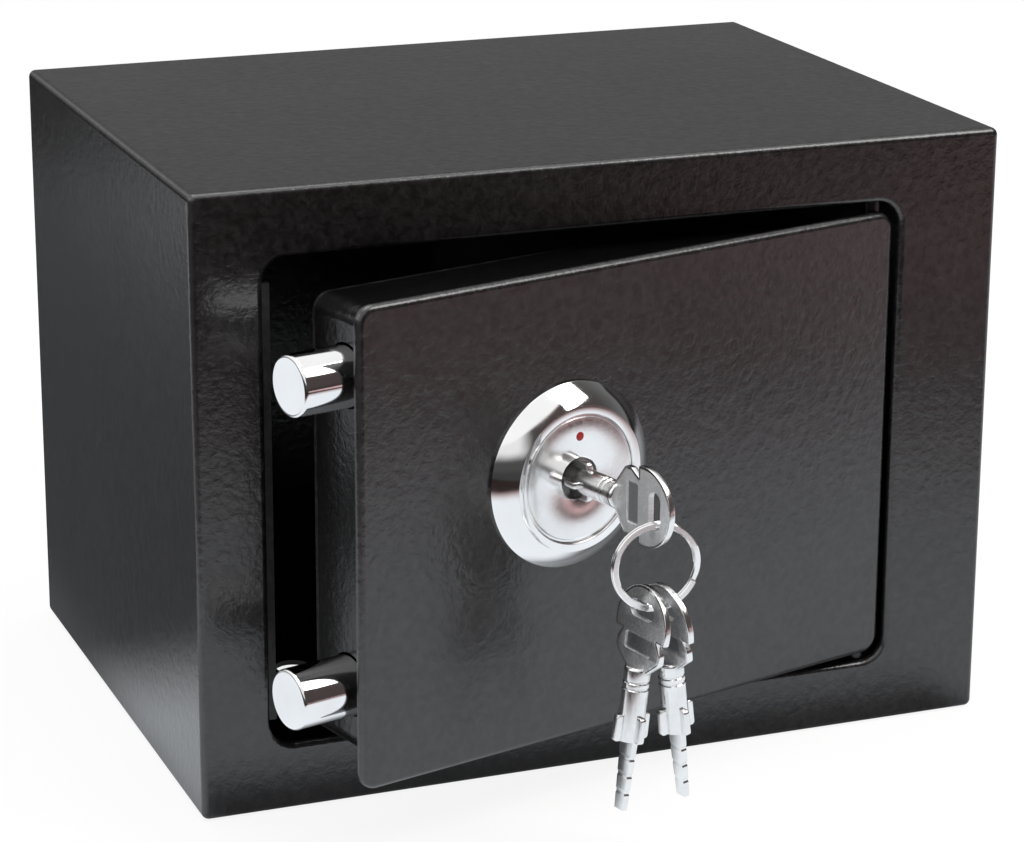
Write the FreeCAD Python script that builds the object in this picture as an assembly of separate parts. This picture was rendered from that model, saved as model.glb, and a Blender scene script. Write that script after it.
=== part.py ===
import FreeCAD, Part
import math
import os

V = FreeCAD.Vector
UP = V(0, 0, 1)
RIGHT = V(1, 0, 0)
INWARD = V(0, 1, 0)

# A small key safe, in millimetres: X to the right, the front faces -Y, Z up.
# The origin is at the middle of the base.
# Every door piece is drawn with the door shut, and then swung open to the rest angle.

# Cabinet
cabinet_width = 230.0
cabinet_height = 170.0
cabinet_depth = 170.0
wall = 1.5
back_sheet = 1.5
frame_sheet = 2.0
edge_round = 2.0
front_edge_round = 1.7
back_edge_round = 1.2

# Opening in the front frame
latch_margin = 19.2
hinge_margin = 29.5
top_margin = 18.0
bottom_margin = 18.5
opening_corner = 6.8
lip_round = 1.6

# Anchor holes
anchor_hole_radius = 5.0
base_anchor_pitch = 120.0
base_anchor_from_back = 75.0
back_anchor_pitch = 120.0
back_anchor_height = 95.0

# Strike strip that the bolts lock behind
strike_sheet = 1.5
strike_overlap = 2.2
strike_height = 119.6
strike_wall_gap = 1.0

# Door
rest_angle = 14.6
hinge_gap = 2.4
latch_gap = 3.9
top_gap = 3.0
bottom_gap = 2.5
door_sheet = 2.0
door_corner = 5.0
door_edge_round = 1.7

# Case behind the door panel, and its cover
case_sheet = 1.5
case_latch_inset = 4.7
case_hinge_inset = 12.0
case_top_inset = 2.9
case_bottom_inset = 6.2
cover_sheet = 1.2
cover_tab = 12.0
cover_screw_inset = 7.5
cover_screw_radius = 1.5
cover_screw_head = 2.75
cover_screw_head_height = 1.6
cover_screw_length = 6.0

# Hinge
pivot_from_edge = 4.0
pivot_depth = 5.2
pin_radius = 2.0
collar_radius = 2.8
knuckle_half = 3.6
knuckle_height = 12.0
knuckle_inset = 2.0
bracket_sheet = 3.0
bracket_leg = 2.0
bracket_half = 8.5
bracket_reach = 11.0
bracket_leg_height = 12.0
bracket_from_opening = 1.5

# Door stops
stop_width = 30.0
stop_sheet = 1.5
stop_foot = 11.0
stop_overlap = 9.0
stop_from_latch = 22.0

# Bolts
bolt_radius = 8.0
bolt_length_ratio = 0.2286
bolt_throw = 14.0
bolt_chamfer = 0.9
bolt_upper_setback = 1.7
bolt_upper_drop_ratio = 0.1625
bolt_lower_rise = 18.6
bolt_hole_clearance = 0.5
bolt_screw_radius = 2.5
bolt_screw_head = 4.0
bolt_screw_head_height = 3.0
bolt_screw_length = 14.0

# Bolt guides
guide_sheet = 3.0
guide_from_wall = 13.5
guide_half = 11.5
guide_foot = 6.5
guide_foot_sheet = 2.0
guide_cover_gap = 1.5

# Bolt carriage and its posts
carriage_sheet = 1.5
carriage_tab_half = 9.0
carriage_rim = 8.0
post_radius = 3.6
post_neck_radius = 2.0
post_from_yoke = 5.0
post_up_ratio = 0.1828
post_down_ratio = 0.2547
post_screw_radius = 1.2
post_screw_length = 10.0
post_head_height = 1.3

# Lock
lock_across_ratio = 0.6314
lock_up_ratio = 0.575
rosette_radius = 25.0
rosette_rim_radius = 19.5
rosette_height = 5.4
rosette_foot = 0.8
rim_width = 2.2
plate_recess = 0.4
plate_sheet = 2.4
plate_hole_radius = 5.6
plate_rebate_width = 0.7
plate_rebate_depth = 0.4
dot_radius = 1.2
dot_height = 11.4
dot_depth = 0.4
dot_proud = 0.1
housing_radius = 13.0
housing_flange_radius = 16.0
housing_flange = 1.2
nut_across_flats = 30.0
nut_height = 4.5
plug_radius = 6.0
plug_web = 0.8
tail_half = 3.5
stud_radius = 2.5
cam_sheet = 2.0
cam_hub_radius = 7.0
cam_pin_radius = 2.0
cam_boss_radius = 4.0
cam_nut_across_flats = 8.0
cam_nut_height = 2.0
key_turn = 90.0

# Keys
key_sheet = 1.7
bow_length = 22.6
bow_head_radius = 10.6
bow_notch_half = 7.4
bow_notch_height = 9.6
bow_foot_half = 9.2
bow_foot_high = 6.9
bow_foot_low = 4.2
bow_foot_round = 1.6
bow_point_half = 2.6
bow_point_drop = 0.9
bow_slot_from_barrel = 16.2
bow_slot_half = 2.2
bow_slot_length = 10.0
bow_recess_length = 4.4
bow_recess_width = 11.0
bow_recess_from_barrel = 5.0
bow_recess_depth = 0.4
barrel_radius = 3.5
barrel_length = 18.2
barrel_in_bow = 1.5
wing_length = 7.0
wing_width = 10.5
bit_length = 18.8
bit_width = 5.6
bit_tip_width = 3.4
bit_notch_depth = 0.3
bit_notch_width = 1.8
bit_notches = 3

# Key ring and the spare keys that hang on it
ring_outer_radius = 12.0
ring_wire_radius = 0.95
ring_twist = -18.0
spare_pitch = 5.2
spare_twist = -2.5
spare_left_splay_angle = 7.2
spare_right_splay_angle = 7.5

# Clearances
running_fit = 0.05
press_gap = 0.02
slide_fit = 0.1
clear = 0.3
seat_gap = 0.1
hang_gap = 0.55
pin_slot_gap = 0.6
key_gap = 0.2
key_end_gap = 0.4
nut_gap = 0.5
cover_gap = 1.8
strike_gap = 1.0

# Places worked out from the sizes above
half_width = cabinet_width / 2
front = -cabinet_depth / 2
back = cabinet_depth / 2
opening_left = -half_width + latch_margin
opening_right = half_width - hinge_margin
opening_bottom = bottom_margin
opening_top = cabinet_height - top_margin
door_left = opening_left + latch_gap
door_right = opening_right - hinge_gap
door_bottom = opening_bottom + bottom_gap
door_top = opening_top - top_gap
door_width = door_right - door_left
door_height = door_top - door_bottom
frame_back = front + frame_sheet
panel_back = front + door_sheet
pivot_x = door_right - pivot_from_edge
pivot_y = front + pivot_depth
strike_back = frame_back + strike_sheet

plate_front = front - rosette_height + plate_recess
plate_back = plate_front + plate_sheet
plug_front = plate_back + seat_gap
key_stop = plug_front - key_gap
key_end = key_stop + bit_length
plug_back = key_end + key_end_gap + plug_web
cam_back = plug_back + cam_sheet
cam_nut_back = cam_back + cam_nut_height
carriage_front = cam_nut_back + nut_gap
carriage_back = carriage_front + carriage_sheet
post_head_front = carriage_back + clear
case_back = post_head_front + post_head_height + cover_gap
cover_back = case_back + cover_sheet

case_left = door_left + case_latch_inset
case_right = door_right - case_hinge_inset
case_bottom = door_bottom + case_bottom_inset
case_top = door_top - case_top_inset
bolt_y = strike_back + strike_gap + bolt_radius
bolt_heights = {
    "upper": door_top - bolt_upper_drop_ratio * door_height,
    "lower": case_bottom + bolt_lower_rise,
}
bolt_setbacks = {"upper": bolt_upper_setback, "lower": 0.0}
bolt_length = bolt_length_ratio * door_width
bolt_tip = door_left - bolt_throw
bolt_inner = bolt_tip + bolt_length
tab_inner = bolt_inner + carriage_sheet

lock_x = door_right - lock_across_ratio * door_width
lock_z = door_bottom + lock_up_ratio * door_height
half_turn = math.radians(key_turn / 2)
cam_reach = bolt_throw / (2 * math.sin(half_turn))
yoke_x = lock_x - bolt_throw / 2
cam_pin_low = lock_z + cam_reach * math.cos(half_turn)
cam_pin_high = lock_z + cam_reach
yoke_half = cam_pin_radius + pin_slot_gap
post_x = yoke_x - post_from_yoke
post_heights = [lock_z + post_up_ratio * door_height, lock_z - post_down_ratio * door_height]

ring_radius = ring_outer_radius - ring_wire_radius
slot_along_key = barrel_length + bow_slot_from_barrel
hook_y = key_stop - slot_along_key
hook_z = lock_z - bow_slot_length / 2 + ring_wire_radius + hang_gap
ring_z = hook_z - ring_radius
spare_hook_along_key = slot_along_key + bow_slot_half - ring_wire_radius - hang_gap


def box(x0, x1, y0, y1, z0, z1):
    return Part.makeBox(x1 - x0, y1 - y0, z1 - z0, V(x0, y0, z0))


def rod(x, y, z, radius, length, along):
    return Part.makeCylinder(radius, length, V(x, y, z), along)


def tube(x, y, z, outer, inner, length, along):
    return rod(x, y, z, outer, length, along).cut(rod(x, y, z, inner, length, along))


def parallel_edges(shape, direction):
    found = []
    for edge in shape.Edges:
        if isinstance(edge.Curve, Part.Line) and edge.Curve.Direction.cross(direction).Length < 1e-6:
            found.append(edge)
    return found


def slab(x0, x1, z0, z1, y0, y1, corner):
    plain = box(x0, x1, y0, y1, z0, z1)
    return plain.makeFillet(corner, parallel_edges(plain, INWARD))


def edges_at_depth(shape, y, x0, x1, z0, z1):
    found = []
    for edge in shape.Edges:
        b = edge.BoundBox
        flat = abs(b.YMin - y) < 1e-4 and abs(b.YMax - y) < 1e-4
        if flat and b.XMin > x0 and b.XMax < x1 and b.ZMin > z0 and b.ZMax < z1:
            found.append(edge)
    return found


def all_edges_at_depth(shape, y):
    far = cabinet_width + cabinet_height
    return edges_at_depth(shape, y, -far, far, -far, far)


def long_slot(x0, x1, z0, z1, half, y0, y1):
    ends = [rod(x, y0, z, half, y1 - y0, INWARD) for x, z in ((x0, z0), (x1, z1))]
    if x0 == x1:
        middle = box(x0 - half, x0 + half, y0, y1, z0, z1)
    else:
        middle = box(x0, x1, y0, y1, z0 - half, z0 + half)
    return ends[0].fuse(ends[1]).fuse(middle).removeSplitter()


def hexagon(x, z, across_flats, y0, y1):
    corner = across_flats / math.sqrt(3)
    angles = [math.radians(60 * i) for i in range(7)]
    points = [V(x + corner * math.cos(a), y0, z + corner * math.sin(a)) for a in angles]
    return Part.Face(Part.makePolygon(points)).extrude(V(0, y1 - y0, 0))


def turned(profile):
    points = [V(lock_x + r, y, lock_z) for r, y in profile]
    face = Part.Face(Part.makePolygon(points + points[:1]))
    return face.revolve(V(lock_x, 0, lock_z), INWARD, 360)


def swing(shape):
    shape = shape.copy()
    shape.rotate(V(pivot_x, pivot_y, 0), UP, rest_angle)
    return shape


def save(name, shape):
    shape.exportStep("parts/" + name + ".step")


def group(shapes):
    return Part.makeCompound(shapes)


# Cabinet pieces
def body_wrap():
    outer = slab(-half_width, half_width, 0, cabinet_height, frame_back, back - back_sheet, edge_round)
    inner = slab(
        -half_width + wall, half_width - wall, wall, cabinet_height - wall,
        frame_back, back - back_sheet, edge_round - wall,
    )
    shell = outer.cut(inner)
    for side in (-1, 1):
        x = side * base_anchor_pitch / 2
        shell = shell.cut(rod(x, back - base_anchor_from_back, 0, anchor_hole_radius, wall, UP))
    return shell


def front_frame():
    plate = slab(-half_width, half_width, 0, cabinet_height, front, frame_back, edge_round)
    plate = plate.makeFillet(front_edge_round, all_edges_at_depth(plate, front))
    mouth = slab(opening_left, opening_right, opening_bottom, opening_top, front, frame_back, opening_corner)
    plate = plate.cut(mouth)
    lip = edges_at_depth(
        plate, front, opening_left - lip_round, opening_right + lip_round,
        opening_bottom - lip_round, opening_top + lip_round,
    )
    return plate.makeFillet(lip_round, lip)


def back_panel():
    plate = slab(-half_width, half_width, 0, cabinet_height, back - back_sheet, back, edge_round)
    plate = plate.makeFillet(back_edge_round, all_edges_at_depth(plate, back))
    for side in (-1, 1):
        x = side * back_anchor_pitch / 2
        hole = rod(x, back - back_sheet, back_anchor_height, anchor_hole_radius, back_sheet, INWARD)
        plate = plate.cut(hole)
    return plate


def strike_strip():
    middle = (opening_bottom + opening_top) / 2
    return box(
        -half_width + wall + strike_wall_gap, opening_left + strike_overlap, frame_back, strike_back,
        middle - strike_height / 2, middle + strike_height / 2,
    )


def hinge_bracket(edge_z, side):
    tab_near = edge_z + side * bracket_from_opening
    tab_far = tab_near + side * bracket_sheet
    leg_far = tab_near + side * bracket_leg_height
    x0, x1 = pivot_x - bracket_half, pivot_x + bracket_half
    tab = box(x0, x1, frame_back, frame_back + bracket_reach, min(tab_near, tab_far), max(tab_near, tab_far))
    leg = box(x0, x1, frame_back, frame_back + bracket_leg, min(tab_near, leg_far), max(tab_near, leg_far))
    hole = rod(pivot_x, pivot_y, min(tab_near, tab_far), pin_radius + running_fit, bracket_sheet, UP)
    return tab.fuse(leg).cut(hole).removeSplitter()


def door_stop(root_z, tip_z):
    inward = 1 if tip_z > root_z else -1
    x0 = door_left + stop_from_latch
    y0 = cover_back + clear
    y1 = y0 + stop_sheet
    foot_z = root_z + inward * stop_sheet
    blade = box(x0, x0 + stop_width, y0, y1, min(root_z, tip_z), max(root_z, tip_z))
    foot = box(x0, x0 + stop_width, y0, y1 + stop_foot, min(root_z, foot_z), max(root_z, foot_z))
    return blade.fuse(foot).removeSplitter()


# Door pieces
def door_panel():
    plate = slab(door_left, door_right, door_bottom, door_top, front, panel_back, door_corner)
    plate = plate.makeFillet(door_edge_round, all_edges_at_depth(plate, front))
    return plate.cut(rod(lock_x, front, lock_z, housing_radius + slide_fit, door_sheet, INWARD))


def cover_screw_places():
    xs = (case_left + cover_screw_inset, case_right - cover_screw_inset)
    zs = (case_bottom + cover_screw_inset, case_top - cover_screw_inset)
    return [(x, z) for x in xs for z in zs]


def door_case():
    outer = slab(case_left, case_right, case_bottom, case_top, panel_back, case_back, door_corner)
    x0, x1 = case_left + case_sheet, case_right - case_sheet
    z0, z1 = case_bottom + case_sheet, case_top - case_sheet
    inner = slab(x0, x1, z0, z1, panel_back, case_back, door_corner - case_sheet)
    case = outer.cut(inner)
    for z in bolt_heights.values():
        hole = rod(case_left, bolt_y, z, bolt_radius + bolt_hole_clearance, case_sheet, RIGHT)
        case = case.cut(hole)
    for x, z in cover_screw_places():
        tab_x = case_left if x < (case_left + case_right) / 2 else case_right - cover_tab
        tab_z = case_bottom if z < (case_bottom + case_top) / 2 else case_top - cover_tab
        tab = box(tab_x, tab_x + cover_tab, case_back - case_sheet, case_back, tab_z, tab_z + cover_tab)
        hole = rod(x, case_back - case_sheet, z, cover_screw_radius + running_fit, case_sheet, INWARD)
        case = case.fuse(tab.common(outer)).cut(hole)
    return case.removeSplitter()


def door_back_cover():
    cover = slab(case_left, case_right, case_bottom, case_top, case_back, cover_back, door_corner)
    for x, z in cover_screw_places():
        cover = cover.cut(rod(x, case_back, z, cover_screw_radius + slide_fit, cover_sheet, INWARD))
    return cover


def cover_screws():
    screws = []
    for x, z in cover_screw_places():
        head = rod(x, cover_back, z, cover_screw_head, cover_screw_head_height, INWARD)
        head_edges = all_edges_at_depth(head, cover_back + cover_screw_head_height)
        head = head.makeFillet(cover_screw_head_height / 2, head_edges)
        shank = rod(x, cover_back - cover_screw_length, z, cover_screw_radius, cover_screw_length, INWARD)
        screws.append(head.fuse(shank))
    return group(screws)


def hinge_knuckle(z0):
    block = box(
        pivot_x - knuckle_half, pivot_x + knuckle_half, panel_back, pivot_y + knuckle_half,
        z0, z0 + knuckle_height,
    )
    return block.cut(rod(pivot_x, pivot_y, z0, pin_radius + press_gap, knuckle_height, UP))


def hinge_pin(knuckle_far, knuckle_near, bracket_near, side, collar_gap):
    tip = bracket_near + side * (bracket_sheet - clear)
    collar_end = bracket_near - side * collar_gap
    shank = rod(pivot_x, pivot_y, min(knuckle_far, tip), pin_radius, abs(tip - knuckle_far), UP)
    collar_low = min(knuckle_near, collar_end)
    collar = rod(pivot_x, pivot_y, collar_low, collar_radius, abs(collar_end - knuckle_near), UP)
    return shank.fuse(collar)


def bolt_guide(z):
    x0 = case_left + guide_from_wall
    x1 = x0 + guide_sheet
    plate = box(x0, x1, panel_back, case_back - guide_cover_gap, z - guide_half, z + guide_half)
    foot_back = panel_back + guide_foot_sheet
    foot = box(x0 - guide_foot, x1, panel_back, foot_back, z - guide_half, z + guide_half)
    hole = rod(x0, bolt_y, z, bolt_radius + slide_fit, guide_sheet, RIGHT)
    return plate.fuse(foot).cut(hole).removeSplitter()


def carriage_posts():
    posts = []
    for z in post_heights:
        body = rod(post_x, panel_back, z, post_radius, carriage_front - clear - panel_back, INWARD)
        neck = rod(post_x, panel_back, z, post_neck_radius, post_head_front - panel_back, INWARD)
        start = post_head_front - post_screw_length - clear
        hole = rod(post_x, start, z, post_screw_radius + press_gap, post_head_front - start, INWARD)
        posts.append(body.fuse(neck).cut(hole))
    return group(posts)


def post_screws():
    screws = []
    for z in post_heights:
        head = rod(post_x, post_head_front, z, post_radius, post_head_height, INWARD)
        start = post_head_front - post_screw_length
        shank = rod(post_x, start, z, post_screw_radius, post_screw_length, INWARD)
        screws.append(head.fuse(shank))
    return group(screws)


def lock_rosette():
    seat_radius = rosette_rim_radius - rim_width
    top = front - rosette_height
    flange_seat = plate_back + housing_flange
    flange_bore = housing_flange_radius + slide_fit
    bore = housing_radius + slide_fit
    return turned([
        (bore, front), (rosette_radius, front), (rosette_radius, front - rosette_foot),
        (rosette_rim_radius, top), (seat_radius, top), (seat_radius, plate_back),
        (flange_bore, plate_back), (flange_bore, flange_seat), (bore, flange_seat),
    ])


def dot_place():
    return lock_x, lock_z + dot_height


def lock_face_plate():
    radius = rosette_rim_radius - rim_width - slide_fit
    plate = tube(lock_x, plate_front, lock_z, radius, plate_hole_radius, plate_sheet, INWARD)
    rebate = tube(
        lock_x, plate_front, lock_z, radius, radius - plate_rebate_width, plate_rebate_depth, INWARD,
    )
    x, z = dot_place()
    return plate.cut(rebate).cut(rod(x, plate_front, z, dot_radius + running_fit, dot_depth, INWARD))


def index_dot():
    x, z = dot_place()
    return rod(x, plate_front - dot_proud, z, dot_radius, dot_proud + dot_depth, INWARD)


def lock_housing():
    barrel_back = plug_back - clear
    barrel = rod(lock_x, plate_back, lock_z, housing_radius, barrel_back - plate_back, INWARD)
    flange = rod(lock_x, plate_back, lock_z, housing_flange_radius, housing_flange, INWARD)
    bore = rod(lock_x, plate_back, lock_z, plug_radius + running_fit, barrel_back - plate_back, INWARD)
    return barrel.fuse(flange).cut(bore)


def lock_nut():
    nut = hexagon(lock_x, lock_z, nut_across_flats, panel_back, panel_back + nut_height)
    return nut.cut(rod(lock_x, panel_back, lock_z, housing_radius + slide_fit, nut_height, INWARD))


# Plug and cam
def lock_plug():
    plug = rod(lock_x, plug_front, lock_z, plug_radius, plug_back - plug_front, INWARD)
    half_slot = key_sheet / 2 + clear
    half_wide = bit_width / 2 + clear
    keyway = box(
        lock_x - half_slot, lock_x + half_slot, plug_front, key_end + key_end_gap,
        lock_z - half_wide, lock_z + half_wide,
    )
    tail = box(
        lock_x - tail_half, lock_x + tail_half, plug_back, cam_back,
        lock_z - tail_half, lock_z + tail_half,
    )
    stud = rod(lock_x, cam_back, lock_z, stud_radius, cam_nut_back - cam_back, INWARD)
    return plug.cut(keyway).fuse(tail).fuse(stud)


def cam_pin_place():
    return lock_x - bolt_throw / 2, cam_pin_low


def lock_cam():
    pin_x, pin_z = cam_pin_place()
    hub = rod(lock_x, plug_back, lock_z, cam_hub_radius, cam_sheet, INWARD)
    boss = rod(pin_x, plug_back, pin_z, cam_boss_radius, cam_sheet, INWARD)
    arm = box(
        lock_x - cam_boss_radius, lock_x + cam_boss_radius, plug_back, cam_back, lock_z, lock_z + cam_reach,
    )
    arm.rotate(V(lock_x, 0, lock_z), INWARD, -key_turn / 2)
    square = tail_half + running_fit
    hole = box(lock_x - square, lock_x + square, plug_back, cam_back, lock_z - square, lock_z + square)
    pin_hole = rod(pin_x, plug_back, pin_z, cam_pin_radius + press_gap, cam_sheet, INWARD)
    return hub.fuse(boss).fuse(arm).cut(hole).cut(pin_hole).removeSplitter()


def cam_pin():
    pin_x, pin_z = cam_pin_place()
    return rod(pin_x, plug_back, pin_z, cam_pin_radius, carriage_back + clear - plug_back, INWARD)


def cam_nut():
    nut = hexagon(lock_x, lock_z, cam_nut_across_flats, cam_back, cam_nut_back)
    return nut.cut(rod(lock_x, cam_back, lock_z, stud_radius + press_gap, cam_nut_height, INWARD))


# Bolts and their carriage
def bolt(z, setback):
    tip = bolt_tip + setback
    body = rod(tip, bolt_y, z, bolt_radius, bolt_inner - tip, RIGHT)
    tip_edges = [edge for edge in body.Edges if abs(edge.BoundBox.XMax - tip) < 1e-4]
    body = body.makeChamfer(bolt_chamfer, tip_edges)
    depth = bolt_screw_length + clear
    return body.cut(rod(bolt_inner - depth, bolt_y, z, bolt_screw_radius + press_gap, depth, RIGHT))


def bolt_screws():
    screws = []
    for z in bolt_heights.values():
        head = rod(tab_inner, bolt_y, z, bolt_screw_head, bolt_screw_head_height, RIGHT)
        start = bolt_inner - bolt_screw_length
        shank = rod(start, bolt_y, z, bolt_screw_radius, tab_inner - start, RIGHT)
        screws.append(head.fuse(shank))
    return group(screws)


def bolt_carriage():
    low = bolt_heights["lower"] - carriage_tab_half
    high = bolt_heights["upper"] + carriage_tab_half
    sheet = box(bolt_inner, yoke_x + carriage_rim, carriage_front, carriage_back, low, high)
    for z in bolt_heights.values():
        tab = box(
            bolt_inner, tab_inner, bolt_y - carriage_tab_half, carriage_back,
            z - carriage_tab_half, z + carriage_tab_half,
        )
        hole = rod(bolt_inner, bolt_y, z, bolt_screw_radius + slide_fit, carriage_sheet, RIGHT)
        sheet = sheet.fuse(tab).cut(hole)
    for z in post_heights:
        half = post_neck_radius + clear
        sheet = sheet.cut(long_slot(post_x - bolt_throw, post_x, z, z, half, carriage_front, carriage_back))
    yoke = long_slot(yoke_x, yoke_x, cam_pin_low, cam_pin_high, yoke_half, carriage_front, carriage_back)
    return sheet.cut(yoke).removeSplitter()


# Keys. The blank stands on its stop shoulder: bow up, bit down, the bow's flat faces along X.
def flat_box(half, z0, z1):
    return box(-key_sheet / 2, key_sheet / 2, -half, half, z0, z1)


def flat_shape(points):
    corners = [V(-key_sheet / 2, y, z) for y, z in points]
    return Part.Face(Part.makePolygon(corners + corners[:1])).extrude(V(key_sheet, 0, 0))


def flat_lobe(half, z, radius):
    reach = half - radius
    lobe = flat_box(reach, z - radius, z + radius)
    for side in (-1, 1):
        lobe = lobe.fuse(rod(-key_sheet / 2, side * reach, z, radius, key_sheet, RIGHT))
    return lobe


def key_blank():
    head_z = barrel_length + bow_length - bow_head_radius
    head_top = head_z + bow_head_radius
    notch_z = barrel_length + bow_notch_height
    head = rod(-key_sheet / 2, 0, head_z, bow_head_radius, key_sheet, RIGHT)
    head = head.common(flat_box(bow_head_radius, notch_z, head_top))
    foot_side = [
        (bow_notch_half, notch_z), (bow_foot_half, barrel_length + bow_foot_high),
        (bow_foot_half, barrel_length + bow_foot_low), (bow_point_half, barrel_length - bow_point_drop),
    ]
    foot = flat_shape(foot_side + [(-y, z) for y, z in reversed(foot_side)])
    foot_corners = [
        edge for edge in parallel_edges(foot, RIGHT) if abs(edge.BoundBox.Center.y) > bow_notch_half + clear
    ]
    bow = head.fuse(foot.makeFillet(bow_foot_round, foot_corners))
    wing = flat_box(wing_width / 2, 0, wing_length)
    cross_wing = wing.copy()
    cross_wing.rotate(V(0, 0, 0), UP, 90)
    barrel = rod(0, 0, 0, barrel_radius, barrel_length + barrel_in_bow, UP)
    shaft = barrel.fuse(wing).fuse(cross_wing)
    bit = flat_shape([
        (-bit_width / 2, 0), (bit_width / 2, 0),
        (bit_tip_width / 2, -bit_length), (-bit_tip_width / 2, -bit_length),
    ])
    for i in range(bit_notches):
        z = -bit_length * (i + 1) / (bit_notches + 1)
        edge = bit_width / 2 + (bit_tip_width - bit_width) / 2 * -z / bit_length
        for side in (-1, 1):
            y = side * (edge + bit_notch_width / 2 - bit_notch_depth)
            bit = bit.cut(rod(-key_sheet / 2, y, z, bit_notch_width / 2, key_sheet, RIGHT))
    key = bow.fuse(shaft).fuse(bit).removeSplitter()
    slot = flat_lobe(bow_slot_length / 2, slot_along_key, bow_slot_half)
    recess_z = barrel_length + bow_recess_from_barrel
    for x in (-key_sheet / 2, key_sheet / 2 - bow_recess_depth):
        recess = box(
            x, x + bow_recess_depth, -bow_recess_width / 2, bow_recess_width / 2,
            recess_z, recess_z + bow_recess_length,
        )
        key = key.cut(recess)
    return key.cut(slot)


def lock_key():
    key = key_blank()
    key.rotate(V(0, 0, 0), RIGHT, 90)
    key.translate(V(lock_x, key_stop, lock_z))
    return key


def ring_direction():
    angle = math.radians(ring_twist)
    return V(math.cos(angle), math.sin(angle), 0)


def key_ring():
    normal = ring_direction().cross(UP)
    return Part.makeTorus(ring_radius, ring_wire_radius, V(lock_x, hook_y, ring_z), normal)


def spare_hook(side):
    along = side * spare_pitch / 2
    drop = math.sqrt(ring_radius ** 2 - along ** 2)
    return V(lock_x, hook_y, ring_z - drop) + ring_direction() * along


def spare_key(side, splay):
    hook = spare_hook(side)
    key = key_blank()
    key.translate(V(0, 0, -spare_hook_along_key))
    key.rotate(V(0, 0, 0), V(0, 1, 0), -side * splay)
    key.rotate(V(0, 0, 0), UP, spare_twist)
    key.translate(hook)
    return key


def report_place(name, point, direction):
    mark = Part.makeLine(point, point + direction)
    ends = [v.Point for v in swing(mark).Vertexes]
    way = ends[1] - ends[0]
    print(name, [round(c, 4) for c in ends[0]], "direction", [round(c, 6) for c in way])


os.makedirs("parts", exist_ok=True)

save("body_wrap", body_wrap())
save("front_frame", front_frame())
save("back_panel", back_panel())
save("strike_strip", strike_strip())
save("hinge_bracket_upper", hinge_bracket(opening_top, 1))
save("hinge_bracket_lower", hinge_bracket(opening_bottom, -1))
save("door_stop_upper", door_stop(cabinet_height - wall, case_top - stop_overlap))
save("door_stop_lower", door_stop(wall, case_bottom + stop_overlap))

upper_knuckle = door_top - knuckle_inset - knuckle_height
lower_knuckle = door_bottom + knuckle_inset
save("door_panel", swing(door_panel()))
save("door_case", swing(door_case()))
save("door_back_cover", swing(door_back_cover()))
save("cover_screws", swing(cover_screws()))
save("hinge_knuckle_upper", swing(hinge_knuckle(upper_knuckle)))
save("hinge_knuckle_lower", swing(hinge_knuckle(lower_knuckle)))
save("hinge_pin_upper", swing(hinge_pin(
    upper_knuckle, upper_knuckle + knuckle_height, opening_top + bracket_from_opening, 1, clear,
)))
save("hinge_pin_lower", swing(hinge_pin(
    lower_knuckle + knuckle_height, lower_knuckle, opening_bottom - bracket_from_opening, -1, seat_gap,
)))
save("carriage_posts", swing(carriage_posts()))
save("post_screws", swing(post_screws()))
save("lock_rosette", swing(lock_rosette()))
save("lock_face_plate", swing(lock_face_plate()))
save("index_dot", swing(index_dot()))
save("lock_housing", swing(lock_housing()))
save("lock_nut", swing(lock_nut()))

save("lock_plug", swing(lock_plug()))
save("lock_cam", swing(lock_cam()))
save("cam_pin", swing(cam_pin()))
save("cam_nut", swing(cam_nut()))

save("bolt_carriage", swing(bolt_carriage()))
save("bolt_screws", swing(bolt_screws()))
for place, height in bolt_heights.items():
    save("bolt_" + place, swing(bolt(height, bolt_setbacks[place])))
    save("bolt_guide_" + place, swing(bolt_guide(height)))

save("lock_key", swing(lock_key()))
save("key_ring", swing(key_ring()))
save("spare_key_left", swing(spare_key(-1, spare_left_splay_angle)))
save("spare_key_right", swing(spare_key(1, spare_right_splay_angle)))

report_place("door pivot", V(pivot_x, pivot_y, 0), UP)
report_place("lock axis", V(lock_x, front, lock_z), INWARD)
report_place("bolt slide", V(bolt_tip, bolt_y, lock_z), -RIGHT)
report_place("ring hook", V(lock_x, hook_y, hook_z), ring_direction())
spare_axis = V(math.cos(math.radians(spare_twist)), math.sin(math.radians(spare_twist)), 0)
report_place("left spare hook", spare_hook(-1), spare_axis)
report_place("right spare hook", spare_hook(1), spare_axis)
print("bolt throw per radian of key", round(bolt_throw / math.radians(key_turn), 6))
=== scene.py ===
import math
import bmesh
import bpy
from mathutils import Matrix, Vector


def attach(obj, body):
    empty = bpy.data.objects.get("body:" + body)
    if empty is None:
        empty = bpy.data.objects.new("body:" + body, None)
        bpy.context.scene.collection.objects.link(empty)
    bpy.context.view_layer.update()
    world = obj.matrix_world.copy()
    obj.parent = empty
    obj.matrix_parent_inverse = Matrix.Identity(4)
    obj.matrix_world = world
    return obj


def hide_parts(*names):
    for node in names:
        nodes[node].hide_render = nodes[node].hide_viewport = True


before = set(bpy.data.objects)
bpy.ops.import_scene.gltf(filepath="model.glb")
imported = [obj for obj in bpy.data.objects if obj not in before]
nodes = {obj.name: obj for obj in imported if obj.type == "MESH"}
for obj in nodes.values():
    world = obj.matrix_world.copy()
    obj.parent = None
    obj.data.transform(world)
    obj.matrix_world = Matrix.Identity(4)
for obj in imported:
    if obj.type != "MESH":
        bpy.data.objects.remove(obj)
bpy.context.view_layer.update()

mm = 0.001
print("frame loaded:", len(nodes), "CAD nodes")


# small helpers for the scene and its node trees

def addObject(name, data):
    made = bpy.data.objects.new(name, data)
    bpy.context.scene.collection.objects.link(made)
    return made


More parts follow.
